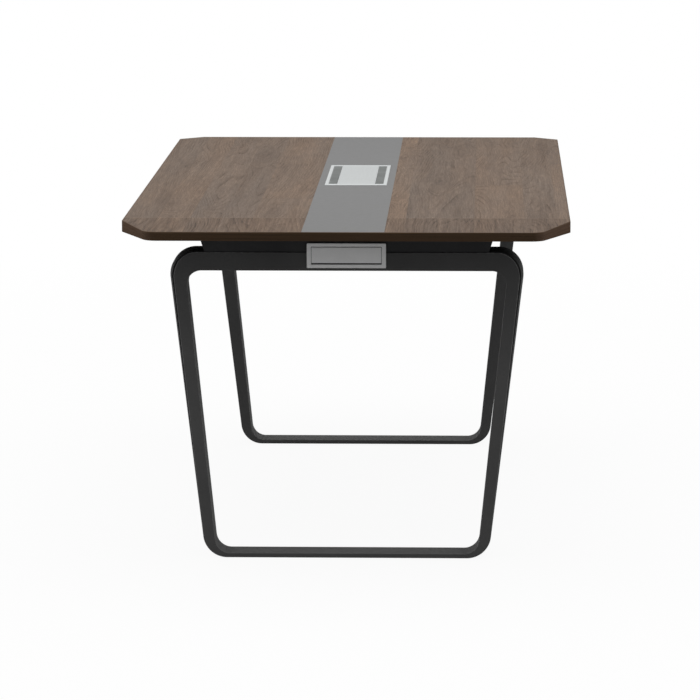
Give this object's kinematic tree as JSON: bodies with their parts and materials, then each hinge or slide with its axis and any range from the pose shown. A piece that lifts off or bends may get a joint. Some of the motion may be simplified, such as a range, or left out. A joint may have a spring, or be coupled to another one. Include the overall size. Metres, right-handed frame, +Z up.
{
  "type": "meeting table",
  "caption": "Rectangular meeting table with cut corners, wood-grain top, grey centre strip with a lidded cable box, and black steel loop legs.",
  "frame": {"origin": "on the floor under the middle of the table's length and width", "axes": "+Y along the length away from the end with the long corner cuts, +X across, +Z up"},
  "size_m": [0.97, 2, 0.7515],
  "materials": {
    "wood_laminate": "matt wood-grain laminate, grey-brown oak, grain along the length",
    "edge_band": "matt dark brown edge band",
    "grey_laminate": "matt grey laminate",
    "black_steel": "fine black powder coat, faded to dark grey in the light",
    "zinc_steel": "bright zinc plate",
    "anodised": "satin silver anodised",
    "bristle": "grey nylon bristles in a slim carrier",
    "galvanised": "dark grey powder coat",
    "socket_black": "matt black plastic",
    "socket_white": "satin white plastic",
    "grey_plastic": "satin light grey plastic",
    "black_plastic": "matt black nylon"
  },
  "bodies": {
    "table": {"tabletop": "wood_laminate", "edge_band": "edge_band", "centre_strip": "grey_laminate", "loop_front": "black_steel", "loop_rear": "black_steel", "riser_front": "black_steel", "riser_rear": "black_steel", "loop_bolts": "zinc_steel", "hole_caps": "black_plastic", "glides": "black_plastic", "rail_left": "black_steel", "rail_right": "black_steel", "rail_brackets": "zinc_steel", "bracket_bolts": "zinc_steel", "crossbar_front": "black_steel", "crossbar_rear": "black_steel", "crossbar_bolts": "zinc_steel", "top_screws": "zinc_steel", "cable_tray": "galvanised", "tray_straps": "black_steel", "strap_bolts": "zinc_steel", "box_frame": "anodised", "brush_left": "bristle", "brush_right": "bristle", "box_tub": "galvanised", "tub_screws": "zinc_steel", "socket_block": "socket_black", "socket_faces": "socket_white", "data_ports": "socket_white", "port_front": "grey_plastic", "port_rear": "grey_plastic"},
    "lid": {"box_lid": "anodised", "lid_rod": "zinc_steel"},
    "front_flap": {"flap_front": "grey_plastic", "flap_rod_front": "zinc_steel"},
    "rear_flap": {"flap_rear": "grey_plastic", "flap_rod_rear": "zinc_steel"}
  },
  "joints": [
    {"name": "lid_hinge", "type": "hinge", "parent": "table", "child": "lid", "pos_m": [-0.0415, 0.098, 0.7492], "axis": [0, -1, 0], "range_deg": [0, 100]},
    {"name": "front_flap_hinge", "type": "hinge", "parent": "table", "child": "front_flap", "pos_m": [0, -0.767, 0.6864], "axis": [-1, 0, 0], "range_deg": [0, 90]},
    {"name": "rear_flap_hinge", "type": "hinge", "parent": "table", "child": "rear_flap", "pos_m": [0, 0.767, 0.6864], "axis": [1, 0, 0], "range_deg": [0, 90]}
  ]
}
